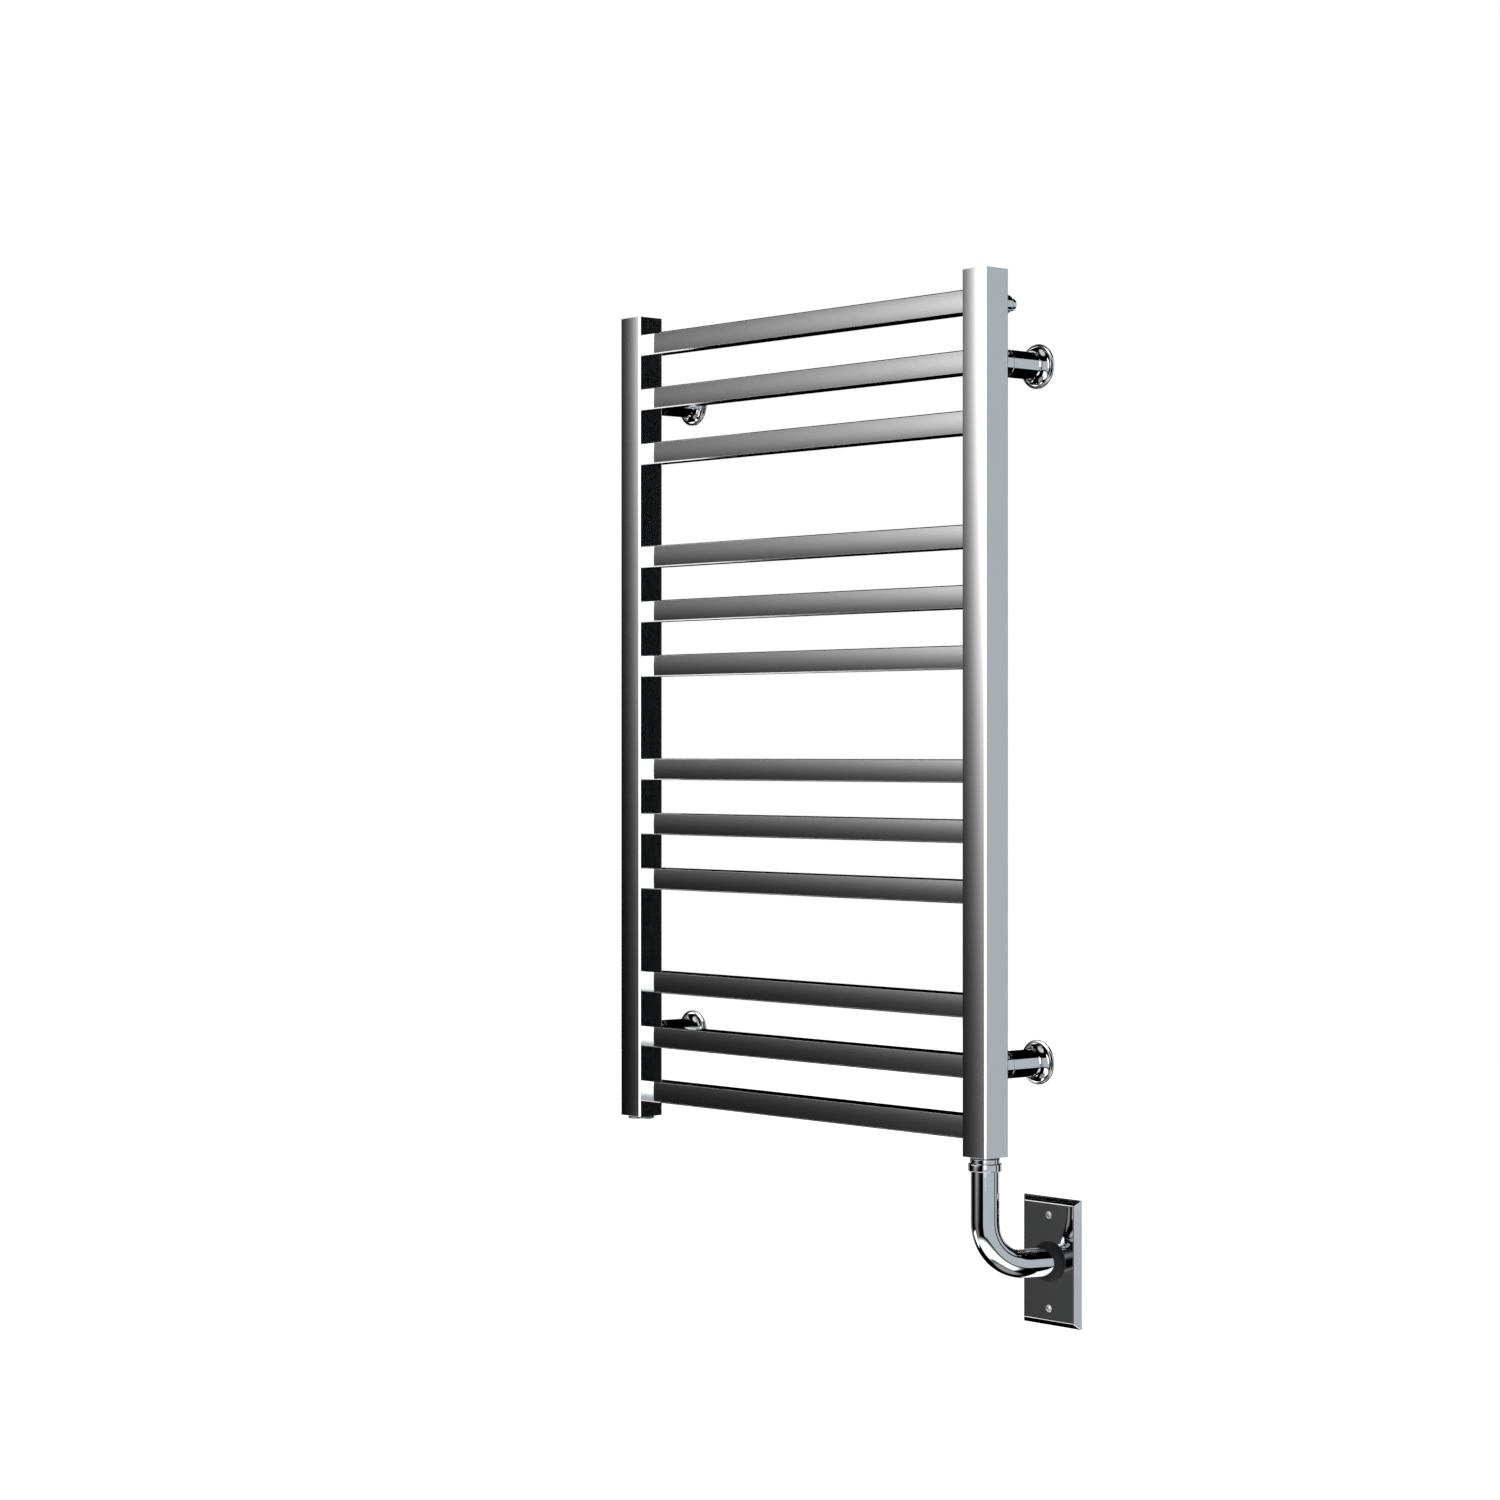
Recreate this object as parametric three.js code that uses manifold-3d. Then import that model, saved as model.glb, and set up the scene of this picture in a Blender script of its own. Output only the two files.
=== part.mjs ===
// A wall-hung electric towel warmer rack: two hollow uprights joined by twelve hollow bars, held off
// the wall by four telescopic brackets. A heating element in the right upright takes its leads through
// a bent conduit and a rubber grommet in a bevelled wall plate.
//
// Millimetres. +Z is up, +X is to the right seen from the room, and -Y points into the room.
// The origin lies on the wall's face, midway between the four brackets.

import * as THREE from "three";
import { mergeVertices } from "three/addons/utils/BufferGeometryUtils.js";
import Module from "manifold-3d";

const wasm = await Module();
wasm.setup();

// ---- Driving dimensions ----

const GAP = 0.3; // clearance between pieces that meet
const OVERRUN = 1; // how far a cutting tool runs past the face it opens

const UPRIGHT_PITCH = 473;
const UPRIGHT_WIDTH = 29.5;
const UPRIGHT_DEPTH = 29.2; // from the front corners to the back face
const UPRIGHT_CROWN = 0.4; // how far the curved front stands proud of its corners
const UPRIGHT_CORNER = 1.6;
const UPRIGHT_WALL = 1.5;
const UPRIGHT_TOP = 392;
const UPRIGHT_BOTTOM = -390.5;
const WALL_SPACE = 53; // between the wall and the backs of the uprights
const CAP_THICKNESS = 3;

const BAR_HEIGHT = 21;
const BAR_DEPTH = 17;
const BAR_CROWN = 0.3;
const BAR_CORNER = 1.2;
const BAR_WALL = 1.4;
const BAR_SETBACK = 9.8; // behind the uprights' front corners
const BAR_PITCH = 53.5;
const BAR_GROUP_STEP = 101; // between neighbouring bars of two groups
const BARS_PER_GROUP = 3;
const BAR_GROUPS = 4;
const PORT_HEIGHT = 15; // the opening in an upright behind each bar's end
const PORT_DEPTH = 11;

const BRACKET_HEIGHT = 311; // each bracket, above or below the rack's middle
const POST_RADIUS = 12.3;
const POST_BORE = 9.8;
const BOSS_LENGTH = 10;
const SPIGOT_RADIUS = 9.5;
const SPIGOT_BORE = 7.8;
const ROSETTE_RADIUS = 20;
const ROSETTE_HEIGHT = 10;
const ANCHOR_LENGTH = 14;
const GRUB_RADIUS = 2;
const GRUB_PROUD = 0.2;
const GRUB_TILT = 40; // degrees above the horizontal, on the +X side

const VENT_HEIGHT = 363.5;
const VENT_RADIUS = 8.2;
const VENT_REACH = 21;
const VENT_SHANK = 5;
const VENT_SHANK_LENGTH = 6;
const VENT_WASHER = 1.5;
const VENT_SEAT = 11; // the screw's seat, behind the upright's back
const VENT_SCREW_RADIUS = 3;

const PLUG_RADIUS = 13;
const PLUG_PROUD = 3;
const PLUG_SHANK = 9.5;
const PLUG_SHANK_LENGTH = 9;
const WASHER_THICKNESS = 1;

const NECK_RADIUS = 13.4;
const NECK_LENGTH = 5.3;
const HEAD_SHANK = 10.2;
const HEAD_BORE = 6.5;
const HEAD_TOP = 14;
const HEAD_FLOOR = 11;
const HEAD_SPIGOT = 12; // how far the head reaches into the conduit
const NUT_RADIUS = 15;
const NUT_LENGTH = 6.8;
const NUT_CHAMFER = 0.8;
const CONDUIT_RADIUS = 12.7;
const CONDUIT_WALL = 1.6;
const CONDUIT_BEND = 40;
const ELEMENT_RADIUS = 6;
const ELEMENT_LENGTH = 480;
const LEAD_RADIUS = 1.4;
const LEAD_SPREAD = 3;

const PLATE_WIDTH = 69.85; // a standard single-gang cover
const PLATE_HEIGHT = 114.3;
const PLATE_THICKNESS = 5.8;
const PLATE_EDGE = 1;
const PLATE_BEVEL = 4.9;
const PLATE_SCREW_PITCH = 83.3;
const PLATE_OFFSET = 18.3; // the plate's centre, to the right of the right upright's
const PLATE_DROP = 96.5; // the plate's centre, below the uprights' ends
const GROMMET_RADIUS = 18.3;
const GROMMET_HEIGHT = 4.6;
const GROMMET_BASE = 1.2;
const GROMMET_LIP = 14.8;
const SCREW_RADIUS = 3.4;
const SCREW_SHANK = 1.9;
const SCREW_NECK = 3.7; // where the shank meets the countersunk head, above the wall
const SCREW_SEAT = 0.6; // how far the countersink's cone stops short of the plate's face

const ROUND_STEPS = 24;
const SMALL_STEPS = 16;
const LEAD_SIDES = 8;
const BEND_STEPS = 22;

// ---- Places worked out from them ----

const rightX = UPRIGHT_PITCH / 2;
const uprightBackY = -WALL_SPACE;
const uprightCornerY = uprightBackY - UPRIGHT_DEPTH;
const uprightMiddleY = (uprightBackY + uprightCornerY) / 2;
const barFrontY = uprightCornerY + BAR_SETBACK;
const barMiddleY = barFrontY + BAR_DEPTH / 2;
const plateX = rightX + PLATE_OFFSET;
const plateZ = UPRIGHT_BOTTOM - PLATE_DROP;
const neckBottomZ = UPRIGHT_BOTTOM - NECK_LENGTH;

/** The bars' heights, from the top bar down. */
function barHeights() {
  const count = BAR_GROUPS * BARS_PER_GROUP;
  const steps = Array.from({ length: count - 1 }, (_, i) =>
    (i + 1) % BARS_PER_GROUP === 0 ? BAR_GROUP_STEP : BAR_PITCH);
  const span = steps.reduce((sum, step) => sum + step, 0);
  const heights = [span / 2];
  for (const step of steps) heights.push(heights.at(-1) - step);
  return heights;
}

const bars = barHeights();
const brackets = [
  { name: "upper_left", x: -rightX, z: BRACKET_HEIGHT },
  { name: "upper_right", x: rightX, z: BRACKET_HEIGHT },
  { name: "lower_left", x: -rightX, z: -BRACKET_HEIGHT },
  { name: "lower_right", x: rightX, z: -BRACKET_HEIGHT },
];

// ---- Materials ----

const metal = (color, roughness) =>
  new THREE.MeshStandardMaterial({ color, roughness, metalness: 1 });
const chrome = metal(0xc9ced2, 0.12);
const brass = metal(0xb5914a, 0.35);
const steel = metal(0x9a9d9f, 0.35);
const rubber = new THREE.MeshStandardMaterial({ color: 0x141414, roughness: 0.8 });
const fibre = new THREE.MeshStandardMaterial({ color: 0x7c2a22, roughness: 0.8 });
const insulation = {
  live: new THREE.MeshStandardMaterial({ color: 0x1b1b1b, roughness: 0.6 }),
  neutral: new THREE.MeshStandardMaterial({ color: 0xe4e2dc, roughness: 0.6 }),
  earth: new THREE.MeshStandardMaterial({ color: 0x2f7d3a, roughness: 0.6 }),
};

// ---- Shape helpers ----

/** A closed three.js geometry as a manifold, for cutting. */
function toManifold(geometry) {
  const bare = geometry.clone();
  bare.deleteAttribute("normal");
  bare.deleteAttribute("uv");
  const merged = mergeVertices(bare, 1e-4);
  return new wasm.Manifold(new wasm.Mesh({
    numProp: 3,
    vertProperties: new Float32Array(merged.attributes.position.array),
    triVerts: new Uint32Array(merged.index.array),
  }));
}

/** A manifold as a three.js geometry. */
function toGeometry(manifold) {
  const mesh = manifold.getMesh();
  const geometry = new THREE.BufferGeometry();
  geometry.setAttribute("position", new THREE.BufferAttribute(mesh.vertProperties, 3));
  geometry.setIndex(new THREE.BufferAttribute(mesh.triVerts, 1));
  geometry.computeVertexNormals();
  return geometry;
}

/** A geometry with others cut out of it. */
function cut(geometry, tools) {
  let body = toManifold(geometry);
  for (const tool of tools) body = body.subtract(toManifold(tool));
  return toGeometry(body);
}

/** A solid of revolution about +Z from closed or axis-to-axis [radius, height] points. */
function turned(points, steps = ROUND_STEPS) {
  const profile = points.map(([radius, height]) => new THREE.Vector2(radius, height));
  return new THREE.LatheGeometry(profile, steps).rotateX(Math.PI / 2);
}

/** A plain ring about +Z between two heights. */
function ring(inner, outer, low, high) {
  return turned([[inner, low], [outer, low], [outer, high], [inner, high], [inner, low]]);
}

/** A plain cylinder along +Z between two heights. */
function rod(radius, low, high, steps = SMALL_STEPS) {
  return turned([[0, low], [radius, low], [radius, high], [0, high]], steps);
}

/** An outline extruded from z = low to z = high. */
function extruded(shape, low, high) {
  const settings = { depth: high - low, bevelEnabled: false, curveSegments: 2 };
  return new THREE.ExtrudeGeometry(shape, settings).translate(0, 0, low);
}

/**
 * A D-shaped outline in X and Y: flat back and sides, and a front towards -Y that bows out by crown.
 * The back's corners and the front's are rounded by corner.
 */
function crownedOutline(Kind, halfWidth, frontY, backY, crown, corner) {
  const outline = new Kind();
  const frontPoints = 8;
  const arcRadius = (halfWidth ** 2 + crown ** 2) / (2 * crown);
  const front = (x) => frontY + (arcRadius - crown) - Math.sqrt(arcRadius ** 2 - x ** 2);
  const reach = halfWidth - corner;
  outline.moveTo(-reach, front(-reach));
  for (let i = 1; i <= frontPoints; i += 1) {
    const x = -reach + (2 * reach * i) / frontPoints;
    outline.lineTo(x, front(x));
  }
  outline.quadraticCurveTo(halfWidth, frontY, halfWidth, frontY + corner);
  outline.lineTo(halfWidth, backY - corner);
  outline.absarc(halfWidth - corner, backY - corner, corner, 0, Math.PI / 2, false);
  outline.lineTo(-halfWidth + corner, backY);
  outline.absarc(-halfWidth + corner, backY - corner, corner, Math.PI / 2, Math.PI, false);
  outline.lineTo(-halfWidth, frontY + corner);
  outline.quadraticCurveTo(-halfWidth, frontY, -reach, front(-reach));
  return outline;
}

/** The same outline with the bore that a wall of even thickness leaves. */
function crownedTube(halfWidth, frontY, backY, crown, corner, wall) {
  const outline = crownedOutline(THREE.Shape, halfWidth, frontY, backY, crown, corner);
  const boreCorner = Math.max(corner - wall, 0.5);
  outline.holes.push(crownedOutline(
    THREE.Path, halfWidth - wall, frontY + wall, backY - wall, crown * 0.9, boreCorner));
  return outline;
}

/** A piece turned about +Z in its own frame, laid with its far end towards the room. */
function towardsRoom(geometry) {
  return geometry.rotateX(Math.PI / 2);
}

const rack = new THREE.Group();

/** Adds a named sub-part to a group. */
function add(name, geometry, material, place = [0, 0, 0], group = rack) {
  const mesh = new THREE.Mesh(geometry, material);
  mesh.name = name;
  mesh.position.set(...place);
  group.add(mesh);
  return mesh;
}

// ---- Uprights and their caps ----

/** The cut for a bar's bore, through an upright's inner wall. side is -1 on the left, 1 on the right. */
function portCut(side, z) {
  const reach = 4 * UPRIGHT_WALL;
  const port = new THREE.BoxGeometry(reach, PORT_DEPTH, PORT_HEIGHT);
  return port.translate(side * (rightX - UPRIGHT_WIDTH / 2), barMiddleY, z);
}

function upright(side) {
  const outline = crownedTube(UPRIGHT_WIDTH / 2, uprightCornerY, uprightBackY, UPRIGHT_CROWN,
    UPRIGHT_CORNER, UPRIGHT_WALL);
  const low = UPRIGHT_BOTTOM + CAP_THICKNESS + GAP;
  const high = UPRIGHT_TOP - CAP_THICKNESS - GAP;
  const tube = extruded(outline, low, high).translate(side * rightX, 0, 0);
  const cuts = bars.map((z) => portCut(side, z));
  if (side > 0) {
    const hole = towardsRoom(rod(VENT_SHANK + GAP, WALL_SPACE - 2 * UPRIGHT_WALL,
      WALL_SPACE + 2 * UPRIGHT_WALL));
    cuts.push(hole.translate(rightX, 0, VENT_HEIGHT));
  }
  return cut(tube, cuts);
}

function cap(low, high) {
  const outline = crownedOutline(THREE.Shape, UPRIGHT_WIDTH / 2, uprightCornerY, uprightBackY,
    UPRIGHT_CROWN, UPRIGHT_CORNER);
  return extruded(outline, low, high);
}

/** A bottom cap with a round hole at the upright's centre. */
function drilledCap(holeRadius) {
  const solid = cap(UPRIGHT_BOTTOM, UPRIGHT_BOTTOM + CAP_THICKNESS);
  const hole = rod(holeRadius, UPRIGHT_BOTTOM - OVERRUN, UPRIGHT_BOTTOM + CAP_THICKNESS + OVERRUN,
    ROUND_STEPS);
  return cut(solid, [hole.translate(0, uprightMiddleY, 0)]);
}

add("left_upright", upright(-1), chrome);
add("right_upright", upright(1), chrome);
add("left_top_cap", cap(UPRIGHT_TOP - CAP_THICKNESS, UPRIGHT_TOP), chrome, [-rightX, 0, 0]);
add("right_top_cap", cap(UPRIGHT_TOP - CAP_THICKNESS, UPRIGHT_TOP), chrome, [rightX, 0, 0]);
add("left_bottom_cap", drilledCap(PLUG_SHANK + GAP), chrome, [-rightX, 0, 0]);
add("right_bottom_cap", drilledCap(HEAD_SHANK + GAP), chrome, [rightX, 0, 0]);

// ---- Bars ----

/** One bar along X: its outline is drawn flat, extruded, then turned so its crown faces the room. */
function bar() {
  const outline = crownedTube(BAR_HEIGHT / 2, -BAR_DEPTH / 2, BAR_DEPTH / 2, BAR_CROWN,
    BAR_CORNER, BAR_WALL);
  const half = rightX - UPRIGHT_WIDTH / 2 - GAP;
  return extruded(outline, -half, half).rotateY(Math.PI / 2);
}

bars.forEach((z, i) => {
  const number = String(i + 1).padStart(2, "0");
  add(`bar_${number}`, bar(), chrome, [0, barMiddleY, z]);
});

// ---- Brackets: each is a boss on the upright, a telescopic post, an anchor and a rosette ----

/** The boss: a ring on the upright's back, with a tapped hole for the grub screw. */
function boss() {
  const low = WALL_SPACE - BOSS_LENGTH;
  const high = WALL_SPACE - GAP;
  const chamfer = 1.6;
  const body = turned([[POST_BORE, low], [POST_RADIUS, low], [POST_RADIUS, high - chamfer],
    [POST_RADIUS - chamfer, high], [POST_BORE, high], [POST_BORE, low]]);
  const hole = rod(GRUB_RADIUS + GAP, POST_BORE - OVERRUN, POST_RADIUS + OVERRUN);
  return cut(body, [aimGrub(hole)]);
}

/** Turns a rod along +Z to point out of the boss at the grub screw's tilt. */
function aimGrub(geometry) {
  const tilt = THREE.MathUtils.degToRad(90 - GRUB_TILT);
  const grubHeight = WALL_SPACE - BOSS_LENGTH / 2;
  return geometry.rotateX(-Math.PI / 2).rotateZ(-tilt).translate(0, 0, grubHeight);
}

function grubScrew() {
  const inner = SPIGOT_RADIUS + 2 * GAP;
  const outer = POST_RADIUS + GRUB_PROUD;
  const socket = 1;
  const depth = 1.5;
  return aimGrub(turned([[0, inner], [GRUB_RADIUS, inner], [GRUB_RADIUS, outer], [socket, outer],
    [socket, outer - depth], [0, outer - depth]], SMALL_STEPS));
}

/** The post: a tube that stands on the wall and ends in a spigot inside the boss. */
function post() {
  const shoulder = WALL_SPACE - BOSS_LENGTH - GAP;
  const end = WALL_SPACE - 2 * GAP;
  const step = 4;
  return turned([[POST_BORE, 0], [POST_RADIUS, 0], [POST_RADIUS, shoulder], [SPIGOT_RADIUS, shoulder],
    [SPIGOT_RADIUS, end], [SPIGOT_BORE, end], [SPIGOT_BORE, shoulder - step],
    [POST_BORE, shoulder - step], [POST_BORE, 0]]);
}

/** The anchor: a flanged brass hub, drilled and countersunk for the wall's own screw. */
function anchor() {
  const flange = 5;
  const hub = 6.5;
  const hole = 2.7;
  const sink = 5;
  const sinkDepth = 2.5;
  return turned([[hole, 0], [POST_BORE - GAP, 0], [POST_BORE - GAP, flange], [hub, flange],
    [hub, ANCHOR_LENGTH], [sink, ANCHOR_LENGTH], [hole, ANCHOR_LENGTH - sinkDepth], [hole, 0]]);
}

/** The rosette: a thin rim that flares up to the post in a hollow curve. */
function rosette() {
  const bore = POST_RADIUS + GAP;
  const rim = 1.6;
  const neck = bore + 0.7;
  const flareSteps = 5;
  const points = [[bore, 0], [ROSETTE_RADIUS, 0], [ROSETTE_RADIUS, rim]];
  for (let i = 1; i <= flareSteps; i += 1) {
    const turn = (i / flareSteps) * (Math.PI / 2);
    points.push([neck + (ROSETTE_RADIUS - neck) * (1 - Math.sin(turn)),
      rim + (ROSETTE_HEIGHT - rim) * (1 - Math.cos(turn))]);
  }
  points.push([bore, ROSETTE_HEIGHT], [bore, 0]);
  return turned(points);
}

for (const { name, x, z } of brackets) {
  const place = [x, 0, z];
  add(`${name}_boss`, towardsRoom(boss()), chrome, place);
  add(`${name}_grub_screw`, towardsRoom(grubScrew()), steel, place);
  add(`${name}_post`, towardsRoom(post()), chrome, place);
  add(`${name}_anchor`, towardsRoom(anchor()), brass, place);
  add(`${name}_rosette`, towardsRoom(rosette()), chrome, place);
}

// ---- Air vent on the back of the right upright ----

/** The body screws into the upright's back; heights here run from the upright's back to the wall. */
function ventBody() {
  const shoulder = VENT_WASHER + 2 * GAP;
  const shoulderEnd = 13.5;
  const chamfer = 1;
  const nose = 5.6;
  const noseEnd = VENT_REACH - 1;
  const bore = VENT_SCREW_RADIUS + GAP;
  return turned([[0, -VENT_SHANK_LENGTH], [VENT_SHANK, -VENT_SHANK_LENGTH], [VENT_SHANK, shoulder],
    [VENT_RADIUS, shoulder], [VENT_RADIUS, shoulderEnd], [nose, shoulderEnd + chamfer],
    [nose, noseEnd], [bore, noseEnd], [bore, VENT_SEAT], [0, VENT_SEAT]]);
}

function ventWasher() {
  const outer = VENT_RADIUS - 0.5;
  return ring(VENT_SHANK + GAP, outer, GAP, VENT_WASHER + GAP);
}

function ventScrew() {
  const slotWidth = 1;
  const slotDepth = 1.4;
  const slot = new THREE.BoxGeometry(4 * VENT_SCREW_RADIUS, slotWidth, 2 * slotDepth);
  const screw = rod(VENT_SCREW_RADIUS, VENT_SEAT + GAP, VENT_REACH);
  return cut(screw, [slot.translate(0, 0, VENT_REACH)]);
}

/** Lays a piece whose heights run from the upright's back towards the wall. */
function onUprightBack(geometry) {
  return geometry.rotateX(-Math.PI / 2);
}

const ventPlace = [rightX, uprightBackY, VENT_HEIGHT];
add("vent_body", onUprightBack(ventBody()), chrome, ventPlace);
add("vent_washer", onUprightBack(ventWasher()), rubber, ventPlace);
add("vent_screw", onUprightBack(ventScrew()), brass, ventPlace);

// ---- Blanking plug under the left upright ----

const underLeft = [-rightX, uprightMiddleY, UPRIGHT_BOTTOM];
const underRight = [rightX, uprightMiddleY, UPRIGHT_BOTTOM];

/** A low-headed plug with a hexagonal socket; heights run up from the cap's underside. */
function blankingPlug() {
  const shoulder = -WASHER_THICKNESS - 2 * GAP;
  const low = -PLUG_PROUD;
  const chamfer = 1;
  const socketRadius = 5;
  const socketDepth = 6;
  const hexagon = rod(socketRadius, low - OVERRUN, low + socketDepth, 6);
  const body = turned([[0, low], [PLUG_RADIUS - chamfer, low], [PLUG_RADIUS, low + chamfer],
    [PLUG_RADIUS, shoulder], [PLUG_SHANK, shoulder], [PLUG_SHANK, PLUG_SHANK_LENGTH],
    [0, PLUG_SHANK_LENGTH]]);
  return cut(body, [hexagon]);
}

/** A washer round a shank, a little smaller than the head that presses on it. */
function sealWasher(shank, head) {
  const setback = 0.6;
  return ring(shank + GAP, head - setback, -WASHER_THICKNESS - GAP, -GAP);
}

add("blanking_plug", blankingPlug(), chrome, underLeft);
add("blanking_plug_washer", sealWasher(PLUG_SHANK, PLUG_RADIUS), fibre, underLeft);

// ---- Heating element in the right upright ----

/** The element's brass head: threaded above, with a round neck and a hollow spigot below. */
function elementHead() {
  const shoulder = -WASHER_THICKNESS - 2 * GAP;
  const spigot = CONDUIT_RADIUS - CONDUIT_WALL - GAP;
  const low = -NECK_LENGTH - HEAD_SPIGOT;
  return turned([[0, HEAD_FLOOR], [HEAD_BORE, HEAD_FLOOR], [HEAD_BORE, low], [spigot, low],
    [spigot, -NECK_LENGTH], [NECK_RADIUS, -NECK_LENGTH], [NECK_RADIUS, shoulder],
    [HEAD_SHANK, shoulder], [HEAD_SHANK, HEAD_TOP], [0, HEAD_TOP]]);
}

/** The element: a sheathed rod with a domed end. */
function heatingElement() {
  const low = HEAD_TOP + GAP;
  const high = low + ELEMENT_LENGTH;
  const domeSteps = 5;
  const points = [[0, low], [ELEMENT_RADIUS, low]];
  for (let i = 0; i <= domeSteps; i += 1) {
    const turn = (i / domeSteps) * (Math.PI / 2);
    const radius = i === domeSteps ? 0 : ELEMENT_RADIUS * Math.cos(turn);
    points.push([radius, high + ELEMENT_RADIUS * (Math.sin(turn) - 1)]);
  }
  return turned(points, SMALL_STEPS);
}

add("element_head", elementHead(), chrome, underRight);
add("element_washer", sealWasher(HEAD_SHANK, NECK_RADIUS), fibre, underRight);
add("heating_element", heatingElement(), steel, underRight);

// ---- Conduit, its coupling nut and its leads ----

// The conduit drops from the element's head, bends, and runs level to the wall plate. Its run is
// swivelled from square to the wall by the plate's offset.
const conduitTop = neckBottomZ - GAP;
const runTargetY = -PLATE_THICKNESS;
const swivel = Math.atan2(PLATE_OFFSET, runTargetY - uprightMiddleY);
const runLength = -uprightMiddleY / Math.cos(swivel);
// The end is cut square to the run, so its far edge is what stays a millimetre short of the wall.
const conduitEnd = runLength - CONDUIT_RADIUS * Math.tan(swivel) - 1;

/** A path in the conduit's plane; shift moves it across the bend, towards its outside. */
function conduitPath(top, end, shift = 0) {
  const radius = CONDUIT_BEND + shift;
  const path = new THREE.CurvePath();
  const point = (along, z) => new THREE.Vector3(along, 0, z);
  const bendStart = point(-shift, plateZ + CONDUIT_BEND);
  const bendEnd = point(CONDUIT_BEND, plateZ - shift);
  const weight = (4 / 3) * Math.tan(Math.PI / 8) * radius;
  path.add(new THREE.LineCurve3(point(-shift, top), bendStart));
  path.add(new THREE.CubicBezierCurve3(bendStart, point(-shift, bendStart.z - weight),
    point(bendEnd.x - weight, bendEnd.z), bendEnd));
  path.add(new THREE.LineCurve3(bendEnd, point(end, plateZ - shift)));
  return path;
}

/** A round tube or rod along the conduit's path, turned to face the plate. */
function alongConduit(radius, path, sides, side = 0) {
  const section = new THREE.Shape();
  section.absarc(0, 0, radius, 0, 2 * Math.PI, false);
  const settings = {
    steps: BEND_STEPS, curveSegments: sides / 2, extrudePath: path, bevelEnabled: false };
  const geometry = new THREE.ExtrudeGeometry(section, settings);
  return geometry.translate(0, side, 0).rotateZ(Math.PI / 2 - swivel);
}

function conduit() {
  const borePath = conduitPath(conduitTop + OVERRUN, conduitEnd + OVERRUN);
  const bore = alongConduit(CONDUIT_RADIUS - CONDUIT_WALL, borePath, ROUND_STEPS);
  const body = alongConduit(CONDUIT_RADIUS, conduitPath(conduitTop, conduitEnd), ROUND_STEPS);
  return cut(body, [bore]);
}

/** The coupling nut: a ring with softened edges that hides the joint between neck and conduit. */
function couplingNut() {
  const inner = CONDUIT_RADIUS + GAP;
  const high = neckBottomZ - GAP;
  const low = high - NUT_LENGTH;
  const edge = NUT_RADIUS - NUT_CHAMFER;
  return turned([[inner, low], [edge, low], [NUT_RADIUS, low + NUT_CHAMFER],
    [NUT_RADIUS, high - NUT_CHAMFER], [edge, high], [inner, high], [inner, low]]);
}

const conduitPlace = [rightX, uprightMiddleY, 0];
add("conduit", conduit(), chrome, conduitPlace);
add("coupling_nut", couplingNut(), chrome, conduitPlace);

const leads = [
  { name: "live_lead", across: LEAD_SPREAD, side: 0, material: insulation.live },
  { name: "neutral_lead", across: -LEAD_SPREAD / 2, side: LEAD_SPREAD, material: insulation.neutral },
  { name: "earth_lead", across: -LEAD_SPREAD / 2, side: -LEAD_SPREAD, material: insulation.earth },
];
for (const { name, across, side, material } of leads) {
  const top = UPRIGHT_BOTTOM + HEAD_FLOOR - GAP;
  const path = conduitPath(top, conduitEnd - 1, across);
  add(name, alongConduit(LEAD_RADIUS, path, LEAD_SIDES, side), material, conduitPlace);
}

// ---- Wall plate, its screws and the grommet ----

/** A frustum on a thin edge, standing on the wall, with a hole for the conduit and two screw holes. */
function wallPlate() {
  const section = (halfWidth, halfHeight, y) => [
    [-halfWidth, y, -halfHeight], [halfWidth, y, -halfHeight],
    [halfWidth, y, halfHeight], [-halfWidth, y, halfHeight]];
  const halfWidth = PLATE_WIDTH / 2;
  const halfHeight = PLATE_HEIGHT / 2;
  const corners = [
    ...section(halfWidth, halfHeight, 0),
    ...section(halfWidth, halfHeight, -PLATE_EDGE),
    ...section(halfWidth - PLATE_BEVEL, halfHeight - PLATE_BEVEL, -PLATE_THICKNESS)];
  const triangles = [0, 2, 1, 0, 3, 2, 8, 9, 10, 8, 10, 11];
  for (const layer of [0, 4]) {
    for (let i = 0; i < 4; i += 1) {
      const next = (i + 1) % 4;
      triangles.push(layer + i, layer + next, layer + 4 + next);
      triangles.push(layer + i, layer + 4 + next, layer + 4 + i);
    }
  }
  const blank = new THREE.BufferGeometry();
  blank.setAttribute("position", new THREE.Float32BufferAttribute(corners.flat(), 3));
  blank.setIndex(triangles);
  const conduitClearance = 2.2;
  const tools = [plateOpening(CONDUIT_RADIUS + conduitClearance)];
  for (const sign of [-1, 1]) {
    tools.push(screwHole().translate(0, 0, (sign * PLATE_SCREW_PITCH) / 2));
  }
  return cut(blank, tools);
}

/** The cut for a plate screw: a plain hole that opens into a countersink. */
function screwHole() {
  const hole = SCREW_SHANK + GAP;
  const sink = SCREW_RADIUS + GAP;
  const bottom = SCREW_NECK - 0.1;
  const end = PLATE_THICKNESS + OVERRUN;
  return towardsRoom(turned([[0, -OVERRUN], [hole, -OVERRUN], [hole, bottom],
    [sink, PLATE_THICKNESS - SCREW_SEAT], [sink, end], [0, end]], SMALL_STEPS));
}

/** A round bore along the conduit's run, in the plate's own frame. */
function plateOpening(radius) {
  const reach = 40;
  const bore = rod(radius, -reach, reach, ROUND_STEPS).rotateX(Math.PI / 2).rotateZ(-swivel);
  return bore.translate(0, runTargetY, 0);
}

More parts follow.
